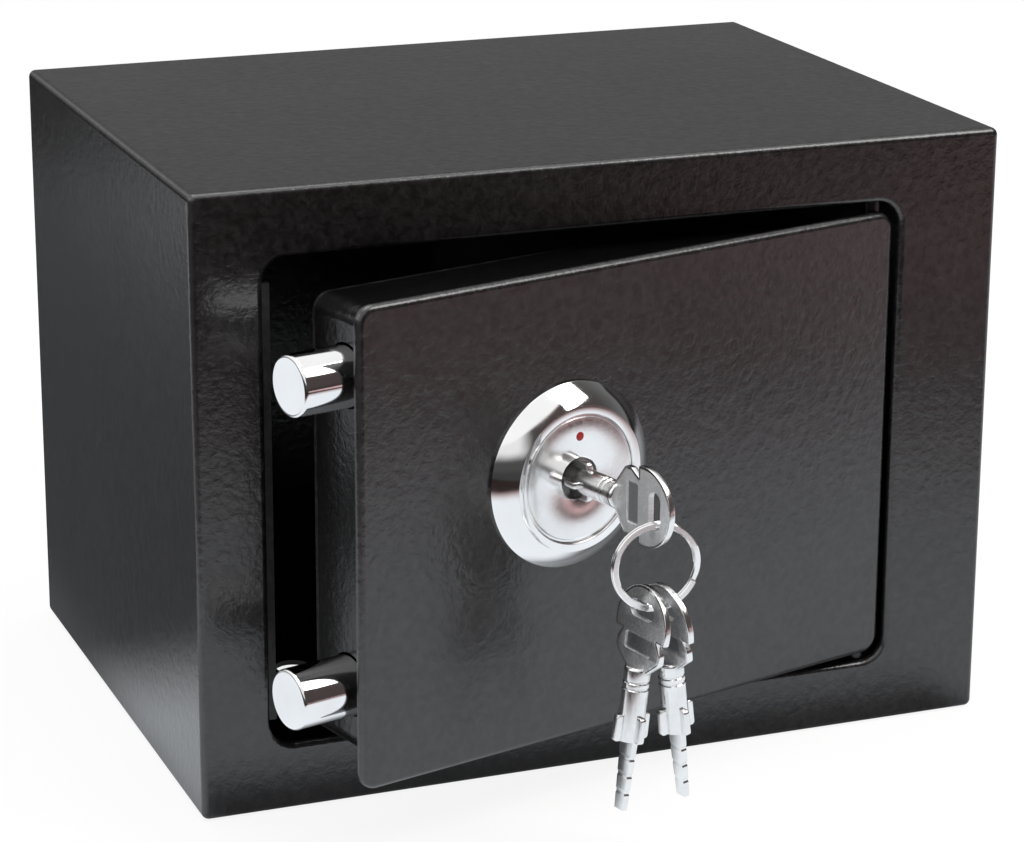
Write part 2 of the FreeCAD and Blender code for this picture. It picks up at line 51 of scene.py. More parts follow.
def plainMesh(holder):
    ready = bpy.context.evaluated_depsgraph_get()
    data = bpy.data.meshes.new_from_object(holder.evaluated_get(ready))
    bpy.data.objects.remove(holder)
    return data


def emptyTree(owner):
    owner.use_nodes = True
    owner.node_tree.nodes.clear()
    return owner.node_tree


def setSocket(tree, socket, value):
    if isinstance(value, bpy.types.NodeSocket):
        tree.links.new(value, socket)
    else:
        socket.default_value = value


def addNode(tree, kind, inputs=None, **settings):
    made = tree.nodes.new(kind)
    for key, value in settings.items():
        setattr(made, key, value)
    for key, value in (inputs or {}).items():
        setSocket(tree, made.inputs[key], value)
    return made


def doMath(tree, operation, first, second=0.0, third=0.0):
    return addNode(tree, "ShaderNodeMath", {0: first, 1: second, 2: third}, operation=operation).outputs[0]


def doVector(tree, operation, first, second=(0.0, 0.0, 0.0)):
    return addNode(tree, "ShaderNodeVectorMath", {0: first, 1: second}, operation=operation).outputs[0]


def remap(tree, value, low, high, newLow=0.0, newHigh=1.0, smooth=False):
    return addNode(tree, "ShaderNodeMapRange", {
        "Value": value, "From Min": low, "From Max": high, "To Min": newLow, "To Max": newHigh,
    }, interpolation_type="SMOOTHSTEP" if smooth else "LINEAR").outputs[0]


def easeIn(tree, value, span):
    # 0 at the span's first value, 1 at its second
    return remap(tree, value, *span, smooth=True)


def mixValues(tree, factor, first, second):
    return remap(tree, factor, 0.0, 1.0, first, second)


def mixColours(tree, factor, first, second):
    return addNode(tree, "ShaderNodeMix", {0: factor, 6: first, 7: second}, data_type="RGBA").outputs[2]


def addBump(tree, height, distance):
    return addNode(tree, "ShaderNodeBump", {"Height": height, "Distance": distance}).outputs[0]


def startGroup(name, takes, gives):
    tree = bpy.data.node_groups.new(name, "ShaderNodeTree")
    for label, kind, value in takes:
        socket = tree.interface.new_socket(label, in_out="INPUT", socket_type="NodeSocket" + kind)
        if value is not None:
            socket.default_value = value
    for label, kind in gives:
        tree.interface.new_socket(label, in_out="OUTPUT", socket_type="NodeSocket" + kind)
    return tree, tree.nodes.new("NodeGroupInput").outputs, tree.nodes.new("NodeGroupOutput").inputs


def useGroup(tree, group, inputs):
    return addNode(tree, "ShaderNodeGroup", inputs, node_tree=group).outputs


def startMaterial(name):
    material = bpy.data.materials.new(name)
    tree = emptyTree(material)
    surface = tree.nodes.new("ShaderNodeBsdfPrincipled")
    output = tree.nodes.new("ShaderNodeOutputMaterial")
    tree.links.new(surface.outputs[0], output.inputs[0])
    return material, tree, surface


def feed(tree, surface, **sockets):
    names = {
        "colour": "Base Color", "roughness": "Roughness", "metallic": "Metallic",
        "normal": "Normal", "ior": "IOR",
    }
    for key, value in sockets.items():
        setSocket(tree, surface.inputs[names[key]], value)


# places shared with the solids, in millimetres: the door is drawn shut and then swung open

doorSwing = {"pivot": (79.1, -79.8, 0.0), "angle": 14.6}
lockPlace = {"x": -27.395, "z": 94.6, "front": -85.0, "plateFront": -90.0, "keyStop": -87.7}
swingMatrix = (
    Matrix.Translation(Vector(doorSwing["pivot"]) * mm)
    @ Matrix.Rotation(math.radians(doorSwing["angle"]), 4, "Z")
    @ Matrix.Translation(Vector(doorSwing["pivot"]) * -mm)
)


def objectPoint(tree):
    return tree.nodes.new("ShaderNodeTexCoord").outputs["Object"]


def doorPoint(tree):
    unswung = swingMatrix.inverted()
    return addNode(tree, "ShaderNodeMapping", {
        "Vector": objectPoint(tree), "Location": unswung.to_translation(), "Rotation": unswung.to_euler(),
    }, vector_type="POINT").outputs[0]


# camera

cameraSetup = {
    "lens": 117.4, "sensor": 36.0, "near": 0.01, "far": 50.0,
    "place": (-0.33548, -0.87072, 0.36467),
    "right": (0.93166, -0.36331, 0.00448),
    "up": (0.10414, 0.27883, 0.95468),
    "back": (-0.34809, -0.88897, 0.29761),
}


def makeCamera(setup):
    data = bpy.data.cameras.new("photoCamera")
    data.sensor_width = setup["sensor"]
    data.sensor_fit = "HORIZONTAL"
    data.lens = setup["lens"]
    data.clip_start = setup["near"]
    data.clip_end = setup["far"]
    camera = addObject("photoCamera", data)
    turned = Matrix((setup["right"], setup["up"], setup["back"])).transposed()
    camera.matrix_world = Matrix.Translation(setup["place"]) @ turned.to_4x4()
    bpy.context.scene.camera = camera


makeCamera(cameraSetup)
bpy.context.scene.view_settings.view_transform = "Standard"
print("camera set")


# studio: white for the camera; mirrors see a soft box overhead, a dim room and a table that fades forward
# a span runs from none to full: shares of the direction in the room, metres on the table

roomSetup = {
    "ambient": 0.30, "below": 0.05, "horizonSpan": (-0.05, 0.03),
    "overhead": 1.0, "overheadLean": -0.35, "overheadSpan": (0.55, 0.60),
    "front": 0.07, "back": 0.22, "backSpan": (-0.2, 0.5),
    "left": 0.85, "leftSpan": (0.05, -0.30), "leftRise": (0.10, 0.30),
    "plain": (1.0, 1.0, 1.0, 1.0), "warm": (1.0, 0.80, 0.78, 1.0),
    "warmRight": (-0.2, 0.2), "warmFront": (0.1, -0.4),
}
tableSetup = {
    "sides": (-1.3, 1.1), "ends": (-0.75, 0.7), "level": -0.0002,
    "colour": (0.82, 0.82, 0.82, 1.0), "shownColour": (0.22, 0.22, 0.22, 1.0), "shownWhite": 0.88,
    "shine": 1.0, "shineColour": (0.915, 0.957, 1.0, 1.0),
    "frontShine": 0.03, "frontColour": (1.0, 0.66, 0.66, 1.0), "frontSpan": (-0.50, -0.30),
    "slantFrom": -0.10, "slant": 1.0, "rightSpan": (0.18, 0.30), "rightSlant": -0.9,
    "cornerShine": 0.75, "cornerRight": (0.22, 0.34), "cornerFront": (-0.43, -0.48),
    "farRight": (0.42, 0.52),
    "leftShine": 0.12, "behindShine": 0.5, "behindRight": (-0.13, -0.10), "behindSpan": (-0.02, 0.06),
    "farLeftShine": 1.0, "farLeft": (-0.32, -0.37),
    "contactShine": 0.2, "contactSpan": (-0.125, -0.094),
    "contactLeft": (-0.125, -0.105), "contactRight": (0.125, 0.105),
}
lampAim = (0.0, 0.0, 0.08)
lamps = {
    "keyBox": {"place": (0.84, -0.62, 1.28), "size": 0.7, "power": 8.0, "colour": (1.0, 0.985, 0.97)},
    "leftBox": {"place": (-1.35, -0.25, 1.05), "size": 0.8, "power": 2.5, "colour": (0.97, 0.98, 1.0)},
    "topBox": {"place": (-0.1, 0.15, 1.5), "size": 0.9, "power": 6.0, "colour": (0.97, 0.98, 1.0)},
}


def rayKinds(tree):
    rays = tree.nodes.new("ShaderNodeLightPath").outputs
    return doMath(tree, "MAXIMUM", rays["Is Camera Ray"], rays["Is Transmission Ray"]), rays["Is Glossy Ray"]


def makeWorld(setup):
    world = bpy.data.worlds.new("studioWorld")
    bpy.context.scene.world = world
    tree = emptyTree(world)
    seen, glossy = rayKinds(tree)
    way = tree.nodes.new("ShaderNodeTexCoord").outputs["Generated"]
    x, y, z = addNode(tree, "ShaderNodeSeparateXYZ", {0: way}).outputs
    room = remap(tree, y, *setup["backSpan"], setup["front"], setup["back"], smooth=True)
    left = remap(tree, x, *setup["leftSpan"], 0.0, setup["left"], smooth=True)
    room = doMath(tree, "MAXIMUM", room, doMath(tree, "MULTIPLY", left, easeIn(tree, z, setup["leftRise"])))
    leaned = doMath(tree, "MULTIPLY_ADD", x, setup["overheadLean"], z)
    lifted = easeIn(tree, leaned, setup["overheadSpan"])
    sky = mixValues(tree, lifted, room, setup["overhead"])
    mirrored = mixValues(tree, easeIn(tree, z, setup["horizonSpan"]), setup["below"], sky)
    strength = mixValues(tree, seen, mixValues(tree, glossy, setup["ambient"], mirrored), 1.0)
    warmRight, warmFront = easeIn(tree, x, setup["warmRight"]), easeIn(tree, y, setup["warmFront"])
    warm = doMath(tree, "MULTIPLY", warmRight, warmFront)
    warm = doMath(tree, "MULTIPLY", warm, doMath(tree, "SUBTRACT", 1.0, lifted))
    mirrorOnly = doMath(tree, "MULTIPLY", glossy, doMath(tree, "SUBTRACT", 1.0, seen))
    warm = doMath(tree, "MULTIPLY", warm, mirrorOnly)
    colour = mixColours(tree, warm, setup["plain"], setup["warm"])
    background = addNode(tree, "ShaderNodeBackground", {"Color": colour, "Strength": strength})
    output = tree.nodes.new("ShaderNodeOutputWorld")
    tree.links.new(background.outputs[0], output.inputs[0])


def makeTable(setup):
    (low, high), (front, back) = setup["sides"], setup["ends"]
    corners = [(low, front), (high, front), (high, back), (low, back)]
    data = bpy.data.meshes.new("whiteTable")
    data.from_pydata([(x, y, setup["level"]) for x, y in corners], [], [(0, 1, 2, 3)])
    table = addObject("whiteTable", data)
    material = bpy.data.materials.new("tableWhite")
    tree = emptyTree(material)
    seen, glossy = rayKinds(tree)
    x, y = addNode(tree, "ShaderNodeSeparateXYZ", {0: objectPoint(tree)}).outputs[:2]
    # the fade to the front comes nearer on the left and on the right
    leftward = doMath(tree, "MINIMUM", doMath(tree, "SUBTRACT", x, setup["slantFrom"]), 0.0)
    depth = doMath(tree, "MULTIPLY_ADD", leftward, setup["slant"], y)
    rightFrom, rightTo = setup["rightSpan"]
    rightward = remap(tree, x, rightFrom, rightTo, 0.0, rightTo - rightFrom)
    depth = doMath(tree, "MULTIPLY_ADD", rightward, setup["rightSlant"], depth)
    lit = easeIn(tree, depth, setup["frontSpan"])
    cornerRight, cornerFront = easeIn(tree, x, setup["cornerRight"]), easeIn(tree, y, setup["cornerFront"])
    corner = doMath(tree, "MULTIPLY", cornerRight, cornerFront)
    corner = doMath(tree, "MAXIMUM", corner, easeIn(tree, x, setup["farRight"]))
    unlit = mixValues(tree, corner, setup["frontShine"], setup["cornerShine"])
    shine = mixValues(tree, lit, unlit, setup["shine"])
    # painted shade: the mirrored table is dimmer beside and behind the cabinet, though not far to the left
    dimmed = mixValues(tree, easeIn(tree, x, setup["behindRight"]), setup["leftShine"], setup["behindShine"])
    behind = mixValues(tree, easeIn(tree, y, setup["behindSpan"]), 1.0, dimmed)
    behind = mixValues(tree, easeIn(tree, x, setup["farLeft"]), behind, setup["farLeftShine"])
    shine = doMath(tree, "MULTIPLY", shine, behind)
    # painted shadow: the mirrored table is darker under the cabinet and close to its front
    contactLeft, contactRight = easeIn(tree, x, setup["contactLeft"]), easeIn(tree, x, setup["contactRight"])
    contact = doMath(tree, "MULTIPLY", contactLeft, contactRight)
    contact = doMath(tree, "MULTIPLY", contact, easeIn(tree, y, setup["contactSpan"]))
    shine = doMath(tree, "MULTIPLY", shine, mixValues(tree, contact, 1.0, setup["contactShine"]))
    shineColour = mixColours(tree, lit, setup["frontColour"], setup["shineColour"])
    matt = addNode(tree, "ShaderNodeBsdfDiffuse", {"Color": setup["colour"]}).outputs[0]
    mirror = addNode(tree, "ShaderNodeEmission", {"Color": shineColour, "Strength": shine}).outputs[0]
    faint = addNode(tree, "ShaderNodeBsdfDiffuse", {"Color": setup["shownColour"]}).outputs[0]
    white = addNode(tree, "ShaderNodeEmission", {"Strength": setup["shownWhite"]}).outputs[0]
    shown = addNode(tree, "ShaderNodeAddShader", {0: faint, 1: white}).outputs[0]
    other = addNode(tree, "ShaderNodeMixShader", {0: glossy, 1: matt, 2: mirror}).outputs[0]
    mixed = addNode(tree, "ShaderNodeMixShader", {0: seen, 1: other, 2: shown}).outputs[0]
    output = tree.nodes.new("ShaderNodeOutputMaterial")
    tree.links.new(mixed, output.inputs[0])
    data.materials.append(material)


def makeLamp(name, setup):
    data = bpy.data.lights.new(name, "AREA")
    data.shape = "SQUARE"
    data.size = setup["size"]
    data.energy = setup["power"]
    data.color = setup["colour"]
    lamp = addObject(name, data)
    lamp.location = setup["place"]
    aim = Vector(lampAim) - Vector(setup["place"])
    lamp.rotation_euler = aim.to_track_quat("-Z", "Y").to_euler()


makeWorld(roomSetup)
makeTable(tableSetup)
for lampName, lampSetup in lamps.items():
    makeLamp(lampName, lampSetup)
print("studio lit with", len(lamps), "lamps")


# shared surface effects

peelPattern = {
    "fineTimes": 2.6, "fineShare": 0.35, "cellShare": -0.5, "speckleSpan": (0.35, 0.7),
    "cloudPerMetre": 14.0, "cloudSpan": (0.3, 0.7),
}
wearAndSheenPattern = {"specksPerMetre": 260.0, "reach": 3.0, "soft": 0.6}
scratchPattern = {"lineSpan": (0.3, 0.7), "hazeSpan": (0.35, 0.7)}


def addNoise(tree, place, scale, **settings):
    inputs = {"Vector": place, "Scale": scale}
    inputs.update({key.capitalize(): value for key, value in settings.items()})
    return addNode(tree, "ShaderNodeTexNoise", inputs).outputs[0]


def addCells(tree, place, scale, smoothness):
    return addNode(tree, "ShaderNodeTexVoronoi", {
        "Vector": place, "Scale": scale, "Smoothness": smoothness,
    }, feature="SMOOTH_F1").outputs["Distance"]


def makePaintPeel(pattern):
    tree, given, result = startGroup("paintPeel", [
        ("Point", "Vector", None), ("Grain per Metre", "Float", 420.0),
    ], [("Height", "Float"), ("Speckle", "Float"), ("Cloud", "Float")])
    place, grain = given["Point"], given["Grain per Metre"]
    coarse = addNoise(tree, place, grain, detail=3.0, roughness=0.55, distortion=0.6)
    fineGrain = doMath(tree, "MULTIPLY", grain, pattern["fineTimes"])
    fine = addNoise(tree, place, fineGrain, detail=2.0, roughness=0.5)
    lumps = doMath(tree, "MULTIPLY", addCells(tree, place, grain, 0.9), pattern["cellShare"])
    height = doMath(tree, "ADD", doMath(tree, "MULTIPLY_ADD", fine, pattern["fineShare"], coarse), lumps)
    cloud = addNoise(tree, place, pattern["cloudPerMetre"], detail=4.0, roughness=0.6)
    tree.links.new(height, result["Height"])
    tree.links.new(remap(tree, coarse, *pattern["speckleSpan"]), result["Speckle"])
    tree.links.new(remap(tree, cloud, *pattern["cloudSpan"]), result["Cloud"])
    return tree


# edges painted lighter: part rubbed wear, part painted highlight standing in for the reflections along
# rounded edges
def makeEdgeWearAndSheen(pattern):
    tree, given, result = startGroup("edgeWearAndSheen", [
        ("Point", "Vector", None), ("Centre", "Vector", None), ("Half Size", "Vector", None),
        ("Width", "Float", 0.0012), ("Breakup", "Float", 0.5),
    ], [("Wear And Sheen", "Float")])
    local = doVector(tree, "SUBTRACT", given["Point"], given["Centre"])
    depth = doVector(tree, "SUBTRACT", given["Half Size"], doVector(tree, "ABSOLUTE", local))
    x, y, z = addNode(tree, "ShaderNodeSeparateXYZ", {0: depth}).outputs
    low = doMath(tree, "MINIMUM", doMath(tree, "MINIMUM", x, y), z)
    high = doMath(tree, "MAXIMUM", doMath(tree, "MAXIMUM", x, y), z)
    total = doMath(tree, "ADD", doMath(tree, "ADD", x, y), z)
    # the middle of the three depths is the distance to the nearest edge
    middle = doMath(tree, "SUBTRACT", doMath(tree, "SUBTRACT", total, low), high)
    speckle = addNoise(tree, given["Point"], pattern["specksPerMetre"], detail=4.0, roughness=0.65)
    broken = doMath(tree, "MULTIPLY", doMath(tree, "SUBTRACT", speckle, 0.5), given["Breakup"])
    reach = doMath(tree, "ADD", 1.0, doMath(tree, "MULTIPLY", broken, pattern["reach"]))
    wide = doMath(tree, "MULTIPLY", given["Width"], reach)
    wearAndSheen = doMath(tree, "SUBTRACT", 1.0, doMath(tree, "DIVIDE", middle, wide))
    tree.links.new(remap(tree, wearAndSheen, 0.0, pattern["soft"]), result["Wear And Sheen"])
    return tree


def makeFineScratch(pattern):
    tree, given, result = startGroup("fineScratch", [
        ("Point", "Vector", None), ("Stretch", "Vector", (1.0, 1.0, 1.0)),
        ("Lines per Metre", "Float", 900.0), ("Haze per Metre", "Float", 60.0),
    ], [("Lines", "Float"), ("Haze", "Float")])
    drawn = doVector(tree, "MULTIPLY", given["Point"], given["Stretch"])
    lines = addNoise(tree, drawn, given["Lines per Metre"], detail=3.0, roughness=0.7)
    haze = addNoise(tree, given["Point"], given["Haze per Metre"], detail=3.0, roughness=0.55)
    tree.links.new(remap(tree, lines, *pattern["lineSpan"]), result["Lines"])
    tree.links.new(remap(tree, haze, *pattern["hazeSpan"]), result["Haze"])
    return tree


paintPeel = makePaintPeel(peelPattern)
edgeWearAndSheen = makeEdgeWearAndSheen(wearAndSheenPattern)
fineScratch = makeFineScratch(scratchPattern)


# black powder coat

paintFinish = {
    "dark": (0.0080, 0.0068, 0.0070, 1.0), "light": (0.0290, 0.0262, 0.0268, 1.0), "roughness": (0.20, 0.27),
    "grain": 420.0, "relief": 0.00010, "ior": 1.72,
    # the lighter edge colour is rubbed wear and a painted highlight
    "rubbedAndSheen": (0.055, 0.054, 0.056, 1.0), "wearAndSheenShare": 0.7, "wearAndSheenWidth": 1.4,
}
# painted shade: a darker, glossier copy of the black paint for the door's case wall inside the opening; the
# hinge hardware is painted with it too
shadedCaseFinish = {
    "dark": (0.0045, 0.0042, 0.0043, 1.0), "light": (0.0070, 0.0065, 0.0067, 1.0), "roughness": (0.15, 0.22),
    "grain": 420.0, "relief": 0.00006, "ior": 1.5,
}
strikeFinish = {
    "dark": paintFinish["dark"], "light": paintFinish["light"], "roughness": (0.42, 0.55),
    "grain": 420.0, "relief": 0.00010,
    "bareDark": (0.024, 0.024, 0.024, 1.0), "bareLight": (0.055, 0.055, 0.053, 1.0),
    "wornSpan": (0.85, 1.35), "stretch": (1.0, 1.0, 0.12), "lines": 420.0, "lineShare": 0.6, "haze": 90.0,
}
# centre and half size of the boxes whose edges are painted lighter, part rubbed wear and part painted
# highlight, in millimetres, the door's when shut
wearAndSheenBoxes = {
    "cabinetPaint": ((0, 0, 85), (115, 85, 85)),
    "doorPaint": ((-4.4, -71.05, 85), (87.5, 13.95, 64)),
}


def makePaint(name, point, finish):
    material, tree, surface = startMaterial(name)
    place = point(tree)
    peel = useGroup(tree, paintPeel, {"Point": place, "Grain per Metre": finish["grain"]})
    colour = mixColours(tree, peel["Speckle"], finish["dark"], finish["light"])
    roughness = remap(tree, peel["Cloud"], 0.0, 1.0, *finish["roughness"])
    # painted highlight and wear: the paint turns lighter along the box's edges
    if name in wearAndSheenBoxes:
        centre, half = wearAndSheenBoxes[name]
        wearAndSheen = useGroup(tree, edgeWearAndSheen, {
            "Point": place, "Centre": Vector(centre) * mm, "Half Size": Vector(half) * mm,
            "Width": finish["wearAndSheenWidth"] * mm,
        })["Wear And Sheen"]
        rubbedAndSheen = doMath(tree, "MULTIPLY", wearAndSheen, finish["wearAndSheenShare"])
        colour = mixColours(tree, rubbedAndSheen, colour, finish["rubbedAndSheen"])
    bump = addBump(tree, peel["Height"], finish["relief"])
    feed(tree, surface, colour=colour, roughness=roughness, normal=bump, ior=finish["ior"])
    return material


def makeWornPaint(name, point, finish):
    material, tree, surface = startMaterial(name)
    place = point(tree)
    peel = useGroup(tree, paintPeel, {"Point": place, "Grain per Metre": finish["grain"]})
    marks = useGroup(tree, fineScratch, {
        "Point": place, "Stretch": finish["stretch"], "Lines per Metre": finish["lines"],
        "Haze per Metre": finish["haze"],
    })
    worn = doMath(tree, "MULTIPLY_ADD", marks["Lines"], finish["lineShare"], marks["Haze"])
    worn = remap(tree, worn, *finish["wornSpan"])
    painted = mixColours(tree, peel["Speckle"], finish["dark"], finish["light"])
    bare = mixColours(tree, marks["Lines"], finish["bareDark"], finish["bareLight"])
    height = doMath(tree, "SUBTRACT", peel["Height"], worn)
    bump = addBump(tree, height, finish["relief"])
    roughness = remap(tree, worn, 0.0, 1.0, *finish["roughness"])
    feed(tree, surface, colour=mixColours(tree, worn, painted, bare), roughness=roughness, normal=bump)
    return material


# metals

metalMarks = {"dimShare": 0.6, "lineShare": 0.5, "hazeShare": 0.5, "roughSpan": (0.1, 0.9)}
metalFinishes = {
    "boltChrome": {
        "bright": (0.90, 0.90, 0.905, 1.0), "dim": (0.80, 0.80, 0.81, 1.0), "roughness": (0.05, 0.11),
        "stretch": (0.25, 1.0, 1.0), "lines": 1500.0, "relief": 0.0,
    },
    "lockChrome": {
        "bright": (0.92, 0.92, 0.92, 1.0), "dim": (0.84, 0.84, 0.845, 1.0), "roughness": (0.05, 0.12),
        "stretch": (1.0, 1.0, 1.0), "lines": 700.0, "relief": 0.0,
    },
    "plateChrome": {
        "bright": (0.90, 0.90, 0.90, 1.0), "dim": (0.80, 0.80, 0.805, 1.0), "roughness": (0.12, 0.22),
        "stretch": (1.0, 1.0, 1.0), "lines": 900.0, "relief": 0.000004,
    },
    "ringSteel": {
        "bright": (0.93, 0.93, 0.93, 1.0), "dim": (0.82, 0.82, 0.82, 1.0), "roughness": (0.14, 0.24),
        "stretch": (1.0, 1.0, 1.0), "lines": 1200.0, "relief": 0.000004,
    },
    "zincSteel": {
        "bright": (0.62, 0.62, 0.63, 1.0), "dim": (0.48, 0.48, 0.47, 1.0), "roughness": (0.30, 0.46),
        "stretch": (1.0, 1.0, 0.3), "lines": 800.0, "relief": 0.00001,
    },
    "zincCasting": {
        "bright": (0.55, 0.55, 0.55, 1.0), "dim": (0.42, 0.42, 0.425, 1.0), "roughness": (0.42, 0.60),
        "stretch": (1.0, 1.0, 1.0), "lines": 600.0, "relief": 0.00003,
    },
    # painted shade: the plug's nickel is painted dark for the shaded recess of the keyhole
    "shadedPlugNickel": {
        "bright": (0.20, 0.195, 0.19, 1.0), "dim": (0.12, 0.118, 0.115, 1.0), "roughness": (0.28, 0.42),
        "stretch": (1.0, 1.0, 1.0), "lines": 900.0, "relief": 0.00001,
    },
}


def makeMetal(name, finish):
    material, tree, surface = startMaterial(name)
    place = doorPoint(tree)
    marks = useGroup(tree, fineScratch, {
        "Point": place, "Stretch": finish["stretch"], "Lines per Metre": finish["lines"],
    })
    dimmed = doMath(tree, "MULTIPLY", marks["Haze"], metalMarks["dimShare"])
    colour = mixColours(tree, dimmed, finish["bright"], finish["dim"])
    hazed = doMath(tree, "MULTIPLY", marks["Haze"], metalMarks["hazeShare"])
    marked = doMath(tree, "MULTIPLY_ADD", marks["Lines"], metalMarks["lineShare"], hazed)
    roughness = remap(tree, marked, *metalMarks["roughSpan"], *finish["roughness"])
    feed(tree, surface, colour=colour, roughness=roughness, metallic=1.0)
    if finish["relief"]:
        feed(tree, surface, normal=addBump(tree, marks["Lines"], finish["relief"]))
    return material


metals = {name: makeMetal(name, finish) for name, finish in metalFinishes.items()}

# in millimetres and per millimetre, as the keys' UV map is, apart from the relief in metres
keyFinish = {
    "shaft": (0.90, 0.90, 0.895, 1.0), "shaftDim": (0.74, 0.74, 0.735, 1.0), "shaftRough": (0.14, 0.26),
    "stretch": (1.0, 0.15, 1.0), "lines": 2.6, "haze": 0.22, "hazeShare": 0.5,
    "head": (0.58, 0.58, 0.585, 1.0), "headLight": (0.86, 0.86, 0.865, 1.0), "headRough": 0.45,
    "stipples": 1.9, "stippleShare": 0.6, "clouds": 0.35, "mottleSpan": (0.5, 1.1), "relief": 0.00007,
    "rimWidth": 0.55, "rimSoft": 0.3,
    "window": (0.22, 0.22, 0.225, 1.0), "windowShare": 0.75, "windowSoft": 0.5,
}
# painted light: the key in the lock gets a copy of the finish whose bow is painted lighter, where light
# falls on it, than the spares' bows
litKeyFinish = keyFinish | {
    "head": (0.84, 0.84, 0.84, 1.0), "headLight": (0.97, 0.97, 0.965, 1.0), "headRough": 0.6,
}
bowShape = {
    "headUp": 30.2, "headRadius": 10.6, "notchUp": 27.8, "notchHalf": 7.4, "neckHalf": 3.0,
    "footHalf": 9.2, "footHigh": 25.1, "footLow": 22.4, "footRound": 1.6,
    "pointHalf": 2.6, "pointUp": 17.3, "pointRound": 0.5,
    "windowLow": 23.2, "windowLength": 4.4, "windowHalf": 5.5, "windowRound": 0.8,
}


def bowFoot(bow):
    return [
        (bow["pointHalf"], bow["pointUp"]), (bow["footHalf"], bow["footLow"]),
        (bow["footHalf"], bow["footHigh"]), (bow["notchHalf"], bow["notchUp"]),
    ]


def makeKeyNickel(name, finish, bow):
    # the UV map holds millimetres across and along the key, with the shaft set far below the bow
    material, tree, surface = startMaterial(name)
    spot = addNode(tree, "ShaderNodeUVMap", uv_map="keyFace").outputs[0]
    across, along = addNode(tree, "ShaderNodeSeparateXYZ", {0: spot}).outputs[:2]
    wide = doMath(tree, "ABSOLUTE", across)

    def boxDepth(centre, half):
        up = doMath(tree, "ABSOLUTE", doMath(tree, "SUBTRACT", along, centre))
        fromSide = doMath(tree, "SUBTRACT", half[0], wide)
        fromEnd = doMath(tree, "SUBTRACT", half[1], up)
        return doMath(tree, "MINIMUM", fromSide, fromEnd)

    def lineDepth(start, end):
        way = (Vector(end) - Vector(start)).normalized()
        sideways = doMath(tree, "MULTIPLY", doMath(tree, "SUBTRACT", wide, start[0]), -way.y)
        return doMath(tree, "MULTIPLY_ADD", doMath(tree, "SUBTRACT", along, start[1]), way.x, sideways)

    up = doMath(tree, "SUBTRACT", along, bow["headUp"])
    squared = doMath(tree, "MULTIPLY_ADD", wide, wide, doMath(tree, "MULTIPLY", up, up))
    reached = doMath(tree, "SQRT", squared)
    above = doMath(tree, "SUBTRACT", along, bow["notchUp"])
    inset = doMath(tree, "MINIMUM", doMath(tree, "SUBTRACT", bow["headRadius"], reached), above)
    corners = bowFoot(bow)
    foot = lineDepth(corners[0], corners[1])
    for start, end in zip(corners[1:], corners[2:]):
        foot = doMath(tree, "MINIMUM", foot, lineDepth(start, end))
    inset = doMath(tree, "MAXIMUM", inset, foot)
    inset = doMath(tree, "MAXIMUM", inset, boxDepth(bow["notchUp"], (bow["notchHalf"], bow["neckHalf"])))
    face = remap(tree, inset, finish["rimWidth"], finish["rimWidth"] + finish["rimSoft"])
    tall = bow["windowLength"] / 2
    window = boxDepth(bow["windowLow"] + tall, (bow["windowHalf"], tall))
    window = remap(tree, window, 0.0, finish["windowSoft"])
    stipple = addCells(tree, spot, finish["stipples"], 0.4)
    cloud = addNoise(tree, spot, finish["clouds"], detail=4.0)
    marks = useGroup(tree, fineScratch, {
        "Point": spot, "Stretch": finish["stretch"], "Lines per Metre": finish["lines"],
        "Haze per Metre": finish["haze"],
    })
    mottled = doMath(tree, "MULTIPLY_ADD", stipple, finish["stippleShare"], cloud)
    head = mixColours(tree, remap(tree, mottled, *finish["mottleSpan"]), finish["head"], finish["headLight"])
    head = mixColours(tree, doMath(tree, "MULTIPLY", window, finish["windowShare"]), head, finish["window"])
    hazed = doMath(tree, "MULTIPLY", marks["Haze"], finish["hazeShare"])
    shaft = mixColours(tree, hazed, finish["shaft"], finish["shaftDim"])
    colour = mixColours(tree, face, shaft, head)
    shaftRough = remap(tree, marks["Lines"], 0.0, 1.0, *finish["shaftRough"])
    roughness = mixValues(tree, face, shaftRough, finish["headRough"])
    relief = doMath(tree, "MULTIPLY", face, stipple)
    bump = addBump(tree, relief, finish["relief"])
    feed(tree, surface, colour=colour, roughness=roughness, metallic=1.0, normal=bump)
    return material


dotFinish = {
    "dark": (0.38, 0.010, 0.014, 1.0), "light": (0.60, 0.030, 0.030, 1.0), "roughness": (0.16, 0.30),
    "specks": 1800.0, "speckSpan": (0.3, 0.7),
}


def makeRedEnamel(finish):
    material, tree, surface = startMaterial("redEnamel")
    speck = addNoise(tree, objectPoint(tree), finish["specks"], detail=3.0)
    colour = mixColours(tree, speck, finish["dark"], finish["light"])
    roughness = remap(tree, speck, *finish["speckSpan"], *finish["roughness"])
    feed(tree, surface, colour=colour, roughness=roughness)
    return material


paints = {
    "cabinetPaint": makePaint("cabinetPaint", objectPoint, paintFinish),
    "doorPaint": makePaint("doorPaint", doorPoint, paintFinish),
    # the door's case takes the darker copy, painted shade
    "shadedCasePaint": makePaint("shadedCasePaint", doorPoint, shadedCaseFinish),
    "hardwarePaint": makePaint("hardwarePaint", objectPoint, shadedCaseFinish),
    "strikePaint": makeWornPaint("strikePaint", objectPoint, strikeFinish),
}
keyNickel = makeKeyNickel("keyNickel", keyFinish, bowShape)
litKeyNickel = makeKeyNickel("litKeyNickel", litKeyFinish, bowShape)
redEnamel = makeRedEnamel(dotFinish)
print("finishes made:", len([*paints, *metals, keyNickel, litKeyNickel, redEnamel]))

